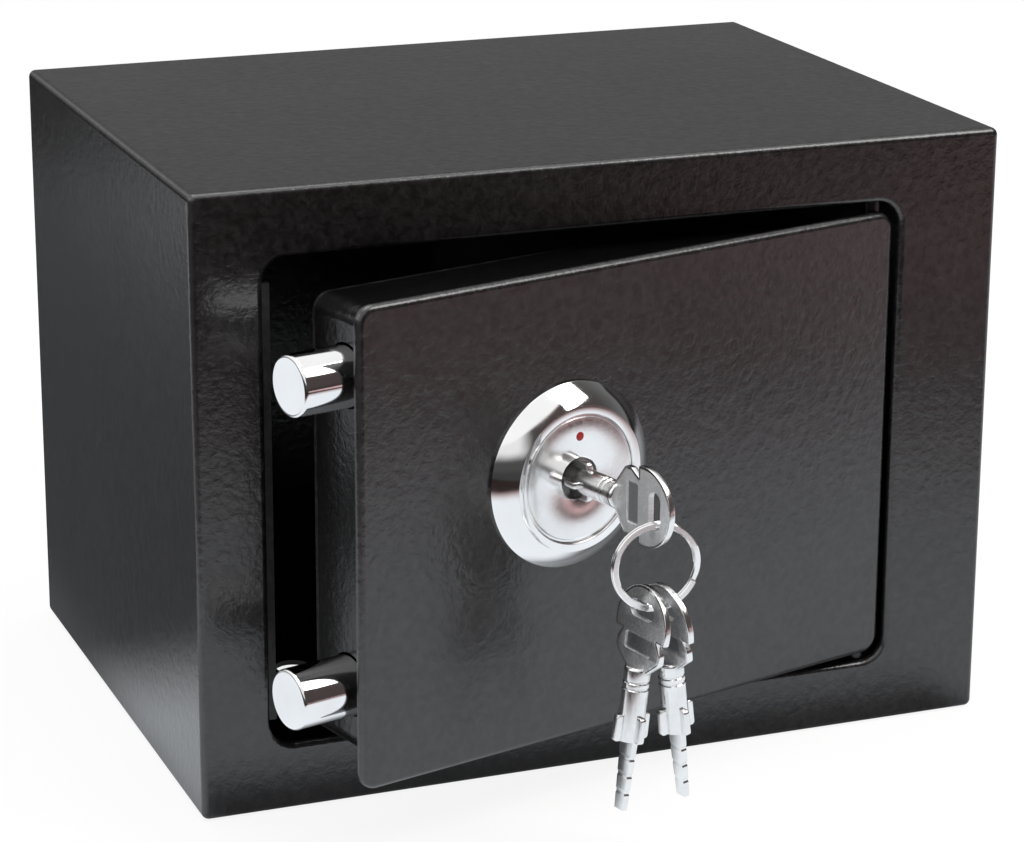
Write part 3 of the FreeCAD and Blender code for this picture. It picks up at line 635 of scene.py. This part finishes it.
nodeFinishes = {
    "cabinetPaint": ["body_wrap", "front_frame", "back_panel"],
    "doorPaint": ["door_panel", "door_back_cover"],
    "shadedCasePaint": ["door_case"],
    "hardwarePaint": [
        "hinge_bracket_upper", "hinge_bracket_lower", "door_stop_upper", "door_stop_lower",
        "hinge_knuckle_upper", "hinge_knuckle_lower", "hinge_pin_upper", "hinge_pin_lower",
    ],
    "strikePaint": ["strike_strip"],
    "zincSteel": [
        "carriage_posts", "post_screws", "lock_nut", "lock_cam", "cam_pin", "cam_nut",
        "bolt_carriage", "bolt_screws", "bolt_guide_upper", "bolt_guide_lower",
    ],
    "zincCasting": ["lock_housing"],
    "shadedPlugNickel": ["lock_plug"],
    "boltChrome": ["bolt_upper", "bolt_lower"],
    "lockChrome": ["lock_rosette"],
    "plateChrome": ["lock_face_plate"],
}
for finishName, names in nodeFinishes.items():
    chosen = paints.get(finishName) or metals[finishName]
    for nodeName in names:
        for holder in nodes[nodeName].material_slots:
            holder.material = chosen
print("CAD nodes dressed")


# mesh helpers

def linkMesh(name, data, material, body, *replaced):
    piece = addObject(name, data)
    data.materials.clear()
    data.materials.append(material)
    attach(piece, body)
    if replaced:
        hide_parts(*replaced)
    return piece


def closeMesh(built, name, sharpAngle=32.0):
    data = bpy.data.meshes.new(name)
    built.to_mesh(data)
    built.free()
    data.shade_smooth()
    data.set_sharp_from_angle(angle=math.radians(sharpAngle))
    return data


def finishMesh(built, name, sharpAngle=32.0):
    bmesh.ops.remove_doubles(built, verts=built.verts, dist=1e-7)
    bmesh.ops.recalc_face_normals(built, faces=built.faces)
    return closeMesh(built, name, sharpAngle)


def roundCorners(points, radii, steps=5, closed=False):
    made = []
    count = len(points)
    for i, point in enumerate(points):
        here = Vector(point)
        radius = radii[i]
        if radius <= 0 or (not closed and i in (0, count - 1)):
            made.append(here)
            continue
        before = (Vector(points[i - 1]) - here).normalized()
        after = (Vector(points[(i + 1) % count]) - here).normalized()
        half = before.angle(after) / 2
        reach = radius / math.tan(half)
        centre = here + (before + after).normalized() * (radius / math.sin(half))
        start, end = here + before * reach - centre, here + after * reach - centre
        for k in range(steps + 1):
            made.append(centre + start.lerp(end, k / steps).normalized() * radius)
    return made


def lathe(profile, segments):
    built = bmesh.new()
    rings = []
    turns = [2 * math.pi * k / segments for k in range(segments)]
    for radius, along in profile:
        if radius < 1e-6:  # a pole
            rings.append([built.verts.new((0.0, 0.0, along))])
            continue
        rings.append([built.verts.new((radius * math.cos(t), radius * math.sin(t), along)) for t in turns])
    for low, high in zip(rings, rings[1:]):
        for k in range(segments):
            n = (k + 1) % segments
            corners = [low[k % len(low)], low[n % len(low)], high[n % len(high)], high[k % len(high)]]
            distinct = list(dict.fromkeys(corners))
            if len(distinct) > 2:
                built.faces.new(distinct)
    return built


def onDoor(place, angle, axis):
    stood = swingMatrix @ Matrix.Translation(Vector(place) * mm)
    return stood @ Matrix.Rotation(math.radians(angle), 4, axis) @ Matrix.Scale(mm, 4)


# bolts, turned from bar

boltShape = {
    "root": -65.9, "depth": -72.5, "radius": 8.0, "edge": 0.8, "rootEdge": 0.4, "segments": 128,
    "upper": {"height": 128.2, "tip": -104.2}, "lower": {"height": 45.8, "tip": -105.9},
}


def makeBolts(shape):
    r = shape["radius"]
    for place in ("upper", "lower"):
        length = shape["root"] - shape[place]["tip"]
        outline = [(0, 0), (r, 0), (r, length), (r - shape["edge"] * 1.5, length), (0, length)]
        profile = roundCorners(outline, [0, shape["rootEdge"], shape["edge"], 0, 0])
        built = lathe(profile, shape["segments"])
        # the axis points to the latch side of the door
        built.transform(onDoor((shape["root"], shape["depth"], shape[place]["height"]), -90, "Y"))
        data = finishMesh(built, "bolt")
        bolt = linkMesh("turnedBolt." + place, data, metals["boltChrome"], "bolts", "bolt_" + place)


makeBolts(boltShape)
print("bolts turned")


# lock front: rosette, face plate, index dot

lockShape = {
    "rosetteRadius": 25.0, "rimRadius": 19.5, "height": 5.4, "foot": 0.8, "footRound": 0.3,
    "rimWidth": 2.2, "rimRounds": (0.35, 0.3), "bore": 13.1, "seatDepth": 2.8,
    "bulge": 0.25, "bulgeSteps": 8, "segments": 192,
    "plateRadius": 17.2, "plateSheet": 2.4, "plateHole": 5.6, "rebateWidth": 0.7, "rebateDepth": 0.4,
    "rebateRound": 0.1, "plateRound": 0.22, "holeEdge": 0.45, "holeEdgeMiddle": 0.13,
    "dotRadius": 1.2, "dotUp": 11.4, "dotSunk": 0.4, "dotSegments": 48,
    "dotDome": ((1.0, 0.02), (0.92, 0.05), (0.7, 0.08), (0.35, 0.095), (0.0, 0.1)),
}


def turnedPiece(name, profile, segments, front, up=0.0, sharpAngle=32.0):
    built = lathe(profile, segments)
    # the axis points out of the door, towards the viewer
    built.transform(onDoor((lockPlace["x"], lockPlace[front], lockPlace["z"] + up), 90, "X"))
    return finishMesh(built, name, sharpAngle)


def makeLockFront(shape):
    seat = shape["rimRadius"] - shape["rimWidth"]
    foot = Vector((shape["rosetteRadius"], shape["foot"]))
    brim = Vector((shape["rimRadius"], shape["height"]))
    slope = (brim - foot).normalized()
    outward = Vector((slope.y, -slope.x))
    steps, floor = shape["bulgeSteps"], shape["height"] - shape["seatDepth"]
    flank = [
        foot.lerp(brim, k / steps) + outward * shape["bulge"] * math.sin(math.pi * k / steps)
        for k in range(1, steps)
    ]
    outline = [(shape["bore"], 0), (shape["rosetteRadius"], 0), foot] + flank
    outline += [brim, (seat, shape["height"]), (seat, floor), (shape["bore"], floor)]
    radii = [0, 0, shape["footRound"]] + [0] * len(flank) + [*shape["rimRounds"], 0, 0]
    profile = roundCorners(outline, radii, steps=6)
    data = turnedPiece("lockRosette", profile + profile[:1], shape["segments"], "front")
    linkMesh("lockRosette", data, metals["lockChrome"], "door", "lock_rosette")

    hole, rim, edge = shape["plateHole"], shape["plateRadius"], shape["holeEdge"]
    step, low, ledge = rim - shape["rebateWidth"], -shape["plateSheet"], -shape["rebateDepth"]
    outline = [
        (hole, low), (rim, low), (rim, ledge), (step, ledge), (step, 0.0),
        (hole + edge, 0.0), (hole + shape["holeEdgeMiddle"], -shape["holeEdgeMiddle"]), (hole, -edge),
    ]
    radii = [0, 0, shape["rebateRound"], shape["rebateRound"], shape["plateRound"], 0, 0, 0]
    profile = roundCorners(outline, radii)
    data = turnedPiece("lockPlate", profile + profile[:1], shape["segments"], "plateFront")
    linkMesh("lockPlate", data, metals["plateChrome"], "door", "lock_face_plate")

    r, sunk = shape["dotRadius"], shape["dotSunk"]
    dome = [(0, -sunk), (r, -sunk)] + [(r * share, height) for share, height in shape["dotDome"]]
    data = turnedPiece("indexDot", dome, shape["dotSegments"], "plateFront", shape["dotUp"], sharpAngle=60)
    linkMesh("indexDot", data, redEnamel, "door", "index_dot")


makeLockFront(lockShape)
print("lock front turned")


# keys: a pressed bow, a round shaft with crossed wings, a flat bit

keyShape = {
    "sheet": 1.7, "edge": 0.22,
    "slotUp": 34.4, "slotHalf": 2.2, "slotReach": 2.8,
    "floorSheet": 0.9, "floorLap": 0.3, "floorEdge": 0.05,
    "shaftRadius": 3.5, "shaftTop": 19.7, "shaftRound": 0.3, "shaftTopRound": 0.9, "shaftSegments": 64,
    "grooves": (13.6, 15.4), "grooveDepth": 0.3, "grooveSteps": (0.25, 0.55, 0.8), "grooveRound": 0.08,
    "wingHalf": 5.25, "wingLength": 7.0, "wingRound": 0.9, "wingEdge": 0.3,
    "bitHalf": 2.8, "tipHalf": 1.7, "bitLength": 18.8, "bitLap": 0.5, "bitEdge": 0.15,
    "notches": 3, "notchHalf": 0.9, "notchDepth": 0.3, "shaftUvDrop": -80.0,
}


def bothSides(side):
    return side + [(-w, z) for w, z in reversed(side)]


def bowOutline(bow, steps=48):
    radii = [0, bow["pointRound"], bow["footRound"], bow["footRound"], 0]
    foot = roundCorners([(0.0, bow["pointUp"])] + bowFoot(bow), radii)
    r, up = bow["headRadius"], bow["headUp"]
    first = math.asin((bow["notchUp"] - up) / r)
    turns = [first + (math.pi / 2 - first) * k / steps for k in range(steps)]
    head = [(r * math.cos(t), up + r * math.sin(t)) for t in turns]
    return bothSides([tuple(p) for p in foot[1:]] + head)


def bitOutline(shape, steps=140):
    side = []
    half = shape["notchHalf"]
    slope = (shape["bitHalf"] - shape["tipHalf"]) / shape["bitLength"]
    for k in range(steps + 1):
        z = -shape["bitLength"] * (1 - k / steps)
        wide = shape["bitHalf"] + slope * z
        for i in range(shape["notches"]):
            centre = -shape["bitLength"] * (i + 1) / (shape["notches"] + 1)
            away = abs(z - centre)
            if away < half:
                edge = shape["bitHalf"] + slope * centre
                cut = math.sqrt(half ** 2 - away ** 2)
                wide = min(wide, edge + half - shape["notchDepth"] - cut)
        side.append((wide, z))
    return bothSides(side + [(shape["bitHalf"], shape["bitLap"])])


def slotOutline(reach, half, up, steps=16):
    ends = []
    for side in (1, -1):
        for k in range(steps + 1):
            t = -math.pi / 2 + math.pi * k / steps
            ends.append((side * (reach + half * math.cos(t)), up + side * half * math.sin(t)))
    return ends


def boxOutline(half, low, length, corner):
    points = [(-half, low), (half, low), (half, low + length), (-half, low + length)]
    return [tuple(p) for p in roundCorners(points, [corner] * 4, closed=True)]


def pressedSheet(loops, thickness, edge):
    curve = bpy.data.curves.new("pressedSheet", "CURVE")
    curve.dimensions = "2D"
    curve.fill_mode = "BOTH"
    curve.extrude = thickness / 2 - edge
    curve.bevel_depth = edge
    curve.bevel_resolution = 2
    curve.offset = -edge
    for loop in loops:
        spline = curve.splines.new("POLY")
        spline.points.add(len(loop) - 1)
        for point, (x, y) in zip(spline.points, loop):
            point.co = (x, y, 0.0, 1.0)
        spline.use_cyclic_u = True
    data = plainMesh(addObject("pressedSheet", curve))
    bpy.data.curves.remove(curve)
    return data


def makeKeyBlank(shape, bow):
    lap, drop = shape["floorLap"], shape["shaftUvDrop"]
    low, length, corner = bow["windowLow"], bow["windowLength"], bow["windowRound"]
    slot = slotOutline(shape["slotReach"], shape["slotHalf"], shape["slotUp"])
    window = boxOutline(bow["windowHalf"], low, length, corner)
    floor = boxOutline(bow["windowHalf"] + lap, low - lap, length + 2 * lap, corner)
    wing = boxOutline(shape["wingHalf"], 0.0, shape["wingLength"], shape["wingRound"])
    sheets = [
        (pressedSheet([bowOutline(bow), slot, window], shape["sheet"], shape["edge"]), 0, 0),
        (pressedSheet([floor], shape["floorSheet"], shape["floorEdge"]), 0, 0),
        (pressedSheet([wing], shape["sheet"], shape["wingEdge"]), 0, drop),
        (pressedSheet([wing], shape["sheet"], shape["wingEdge"]), 90, drop),
        (pressedSheet([bitOutline(shape)], shape["sheet"], shape["bitEdge"]), 0, drop),
    ]
    r, top = shape["shaftRadius"], shape["shaftTop"]
    fall, rise, end = shape["grooveSteps"]
    bottom = r - shape["grooveDepth"]
    outline = [(0, 0), (r, 0)]
    for z in shape["grooves"]:
        outline += [(r, z), (bottom, z + fall), (bottom, z + rise), (r, z + end)]
    outline += [(r, top), (0, top)]
    inner = [shape["grooveRound"]] * (len(outline) - 4)
    radii = [0, shape["shaftRound"]] + inner + [shape["shaftTopRound"], 0]
    shaft = finishMesh(lathe(roundCorners(outline, radii), shape["shaftSegments"]), "keyShaft")
    # flat sheets stand up with the bow upwards and their faces along X; the shaft already stands
    upright = Matrix(((0, 0, 1, 0), (1, 0, 0, 0), (0, 1, 0, 0), (0, 0, 0, 1)))
    built = bmesh.new()
    face = built.loops.layers.uv.new("keyFace")
    for data, turn, shift in sheets + [(shaft, None, drop)]:
        first = len(built.faces)
        if turn is not None:
            data.transform(Matrix.Rotation(math.radians(turn), 4, "Z") @ upright)
        built.from_mesh(data)
        bpy.data.meshes.remove(data)
        built.faces.ensure_lookup_table()
        for polygon in built.faces[first:]:
            for loop in polygon.loops:
                spot = loop.vert.co
                # a sheet's width runs along Y, the turned wing's along X
                loop[face].uv = (spot.y if turn == 0 else spot.x, spot.z + shift)
    bmesh.ops.remove_doubles(built, verts=built.verts, dist=1e-5)
    bmesh.ops.recalc_face_normals(built, faces=built.faces)
    return built


ringPlace = {
    "hook": (-27.395, -122.1, 91.1), "radius": 11.05, "twist": -18.0, "pitch": 5.2,
    "keyTwist": -2.5, "hookAlong": 35.1,
}
spareSplay = {"left": (-1, 7.2), "right": (1, 7.5)}


def ringCentre(place):
    return Vector(place["hook"]) - Vector((0, 0, place["radius"]))


def sparePlace(place, side, splay):
    along = side * place["pitch"] / 2
    twist = math.radians(place["twist"])
    drop = math.sqrt(place["radius"] ** 2 - along ** 2)
    hook = ringCentre(place) + Vector((math.cos(twist) * along, math.sin(twist) * along, -drop))
    return (
        Matrix.Translation(hook * mm) @ Matrix.Rotation(math.radians(place["keyTwist"]), 4, "Z")
        @ Matrix.Rotation(math.radians(-side * splay), 4, "Y") @ Matrix.Scale(mm, 4)
        @ Matrix.Translation((0, 0, -place["hookAlong"]))
    )


def makeKeys(shape):
    inLock = Matrix.Translation(Vector((lockPlace["x"], lockPlace["keyStop"], lockPlace["z"])) * mm)
    places = {"lock_key": ("key", inLock @ Matrix.Rotation(math.radians(90), 4, "X") @ Matrix.Scale(mm, 4))}
    for name, (side, splay) in spareSplay.items():
        places["spare_key_" + name] = (name + "_spare", sparePlace(ringPlace, side, splay))
    blank = makeKeyBlank(shape, bowShape)
    for node, (body, matrix) in places.items():
        built = blank.copy()
        built.transform(swingMatrix @ matrix)
        data = closeMesh(built, "cutKey")
        # the key in the lock takes the copy with the bow painted lighter, painted light
        finish = litKeyNickel if body == "key" else keyNickel
        linkMesh("cutKey." + node, data, finish, body, node)
    blank.free()


makeKeys(keyShape)
print("keys cut")


# split ring, wound by Geometry Nodes along a stepped coil

ringShape = {
    "radius": 11.0, "wireWide": 1.75, "wireHigh": 0.92, "wireRound": 0.34, "lap": 1.04,
    "turns": 1.93, "stepAt": 0.5, "stepLength": 0.12, "points": 220,
}


def startGeometry(name, sizes):
    tree = bpy.data.node_groups.new(name, "GeometryNodeTree")
    tree.interface.new_socket("Geometry", in_out="INPUT", socket_type="NodeSocketGeometry")
    kinds = {float: "NodeSocketFloat", int: "NodeSocketInt", bpy.types.Material: "NodeSocketMaterial"}
    identifiers = {}
    for label, value in sizes.items():
        kind = next(k for k in kinds if isinstance(value, k))
        socket = tree.interface.new_socket(label, in_out="INPUT", socket_type=kinds[kind])
        identifiers[label] = socket.identifier
    tree.interface.new_socket("Geometry", in_out="OUTPUT", socket_type="NodeSocketGeometry")
    given, result = tree.nodes.new("NodeGroupInput").outputs, tree.nodes.new("NodeGroupOutput").inputs
    return tree, identifiers, given, result


def endGeometry(tree, part, finish, result):
    real = addNode(tree, "GeometryNodeRealizeInstances", {"Geometry": part}).outputs[0]
    painted = addNode(tree, "GeometryNodeSetMaterial", {"Geometry": real, "Material": finish}).outputs[0]
    tree.links.new(painted, result[0])


def growMesh(name, tree, identifiers, sizes, matrix, sharpAngle):
    holder = addObject(name, bpy.data.meshes.new(name))
    modifier = holder.modifiers.new(name, "NODES")
    modifier.node_group = tree
    for label, value in sizes.items():
        modifier[identifiers[label]] = value
    data = plainMesh(holder)
    data.transform(matrix)
    built = bmesh.new()
    built.from_mesh(data)
    bpy.data.meshes.remove(data)
    return finishMesh(built, name, sharpAngle)


def makeSplitRing(shape):
    sizes = {
        "Radius": shape["radius"], "Wire Wide": shape["wireWide"], "Wire High": shape["wireHigh"],
        "Wire Round": shape["wireRound"], "Lap": shape["lap"],
        "Turns": shape["turns"], "Step At": shape["stepAt"], "Step Length": shape["stepLength"],
        "Points": shape["points"], "Finish": metals["ringSteel"],
    }
    tree, identifiers, given, result = startGeometry("splitRingCoil", sizes)
    wide, high = given["Wire Wide"], given["Wire High"]
    line = addNode(tree, "GeometryNodeCurvePrimitiveLine").outputs[0]
    points = addNode(tree, "GeometryNodeResampleCurve", {"Curve": line, "Count": given["Points"]}).outputs[0]
    share = addNode(tree, "GeometryNodeSplineParameter").outputs["Factor"]
    turn = doMath(tree, "MULTIPLY", doMath(tree, "MULTIPLY", share, given["Turns"]), 2 * math.pi)
    half = doMath(tree, "MULTIPLY", given["Step Length"], 0.5)
    start, end = (doMath(tree, way, given["Step At"], half) for way in ("SUBTRACT", "ADD"))
    stepped = remap(tree, share, start, end, -0.5, 0.5, smooth=True)
    lift = doMath(tree, "MULTIPLY", stepped, doMath(tree, "MULTIPLY", high, given["Lap"]))
    x = doMath(tree, "MULTIPLY", doMath(tree, "COSINE", turn), given["Radius"])
    y = doMath(tree, "MULTIPLY", doMath(tree, "SINE", turn), given["Radius"])
    place = addNode(tree, "ShaderNodeCombineXYZ", {0: x, 1: y, 2: lift}).outputs[0]
    coil = addNode(tree, "GeometryNodeSetPosition", {"Geometry": points, "Position": place}).outputs[0]
    upright = addNode(tree, "GeometryNodeSetCurveNormal", {"Curve": coil}, mode="Z_UP").outputs[0]
    section = addNode(tree, "GeometryNodeCurvePrimitiveQuadrilateral", {
        "Width": wide, "Height": high,
    }).outputs[0]
    corner = doMath(tree, "MULTIPLY", high, given["Wire Round"])
    rounded = addNode(tree, "GeometryNodeFilletCurve", {"Curve": section, "Radius": corner}).outputs[0]
    tube = addNode(tree, "GeometryNodeCurveToMesh", {
        "Curve": upright, "Profile Curve": rounded, "Fill Caps": True,
    }).outputs[0]
    smooth = addNode(tree, "GeometryNodeSetShadeSmooth", {"Geometry": tube}).outputs[0]
    endGeometry(tree, smooth, given["Finish"], result)
    twist = math.radians(ringPlace["twist"])
    across = Vector((math.cos(twist), math.sin(twist), 0.0))
    normal = across.cross(Vector((0, 0, 1)))
    basis = Matrix((across, normal.cross(across), normal)).transposed().to_4x4()
    hung = swingMatrix @ Matrix.Translation(ringCentre(ringPlace) * mm) @ basis @ Matrix.Scale(mm, 4)
    data = growMesh("splitRing", tree, identifiers, sizes, hung, sharpAngle=40)
    linkMesh("splitRing", data, metals["ringSteel"], "ring", "key_ring")


makeSplitRing(ringShape)
print("split ring wound")


# cross-slot screws that hold the cover to the back of the door, set out by Geometry Nodes

screwShape = {
    "middle": (-8.05, -57.1, 86.65), "apart": (143.3, 103.9), "seed": 4,
    "headRadius": 2.75, "headHeight": 1.6, "headSegments": 40, "headRings": 24,
    "shankRadius": 1.5, "shankLength": 6.0, "shankSegments": 24,
    "slotLong": 3.1, "slotWide": 0.7, "slotDepth": 0.85,
}


def makeCoverScrews(shape):
    sizes = {
        "Apart X": shape["apart"][0], "Apart Z": shape["apart"][1],
        "Head Radius": shape["headRadius"], "Head Height": shape["headHeight"],
        "Shank Radius": shape["shankRadius"], "Shank Length": shape["shankLength"],
        "Slot Long": shape["slotLong"], "Slot Wide": shape["slotWide"], "Slot Depth": shape["slotDepth"],
        "Seed": shape["seed"], "Finish": metals["zincSteel"],
    }
    tree, identifiers, given, result = startGeometry("coverScrewSet", sizes)

    def combine(x, y, z):
        return addNode(tree, "ShaderNodeCombineXYZ", {0: x, 1: y, 2: z}).outputs[0]

    def moved(part, **change):
        settings = {"Geometry": part}
        settings.update({key.capitalize(): value for key, value in change.items()})
        return addNode(tree, "GeometryNodeTransform", settings).outputs[0]

    ball = addNode(tree, "GeometryNodeMeshUVSphere", {
        "Segments": shape["headSegments"], "Rings": shape["headRings"], "Radius": 1.0,
    }).outputs[0]
    dome = moved(ball, scale=combine(given["Head Radius"], given["Head Radius"], given["Head Height"]))
    # a box takes off the lower half, two more cut the slots
    wide = doMath(tree, "MULTIPLY", given["Head Radius"], 3.0)
    high = doMath(tree, "MULTIPLY", given["Head Height"], 3.0)
    below = addNode(tree, "GeometryNodeMeshCube", {"Size": combine(wide, wide, high)}).outputs[0]
    below = moved(below, translation=combine(0.0, 0.0, doMath(tree, "MULTIPLY", high, -0.5)))
    deep = doMath(tree, "MULTIPLY", given["Slot Depth"], 2.0)
    slotSize = combine(given["Slot Long"], given["Slot Wide"], deep)
    slot = addNode(tree, "GeometryNodeMeshCube", {"Size": slotSize}).outputs[0]
    slot = moved(slot, translation=combine(0.0, 0.0, given["Head Height"]))
    cross = moved(slot, rotation=(0.0, 0.0, math.pi / 2))
    cut = addNode(tree, "GeometryNodeMeshBoolean", {"Mesh 1": dome, "Mesh 2": below}, operation="DIFFERENCE")
    for cutter in (slot, cross):
        tree.links.new(cutter, cut.inputs["Mesh 2"])
    shank = addNode(tree, "GeometryNodeMeshCylinder", {
        "Vertices": shape["shankSegments"], "Radius": given["Shank Radius"], "Depth": given["Shank Length"],
    }).outputs[0]
    sunk = doMath(tree, "MULTIPLY", given["Shank Length"], -0.5)
    shank = moved(shank, translation=combine(0.0, 0.0, sunk))
    screw = addNode(tree, "GeometryNodeJoinGeometry", {"Geometry": shank})
    tree.links.new(cut.outputs[0], screw.inputs["Geometry"])
    spots = addNode(tree, "GeometryNodeMeshGrid", {
        "Size X": given["Apart X"], "Size Y": given["Apart Z"], "Vertices X": 2, "Vertices Y": 2,
    }).outputs[0]
    turn = addNode(tree, "FunctionNodeRandomValue", {
        2: 0.0, 3: math.pi / 2, 8: given["Seed"],  # least, most and seed
    }, data_type="FLOAT").outputs[1]
    placed = addNode(tree, "GeometryNodeInstanceOnPoints", {
        "Points": spots, "Instance": screw.outputs[0], "Rotation": combine(0.0, 0.0, turn),
    }).outputs[0]
    endGeometry(tree, placed, given["Finish"], result)
    backFacing = onDoor(shape["middle"], -90, "X")
    data = growMesh("coverScrews", tree, identifiers, sizes, backFacing, sharpAngle=30)
    linkMesh("coverScrews", data, metals["zincSteel"], "door", "cover_screws")


makeCoverScrews(screwShape)
print("cover screws set")
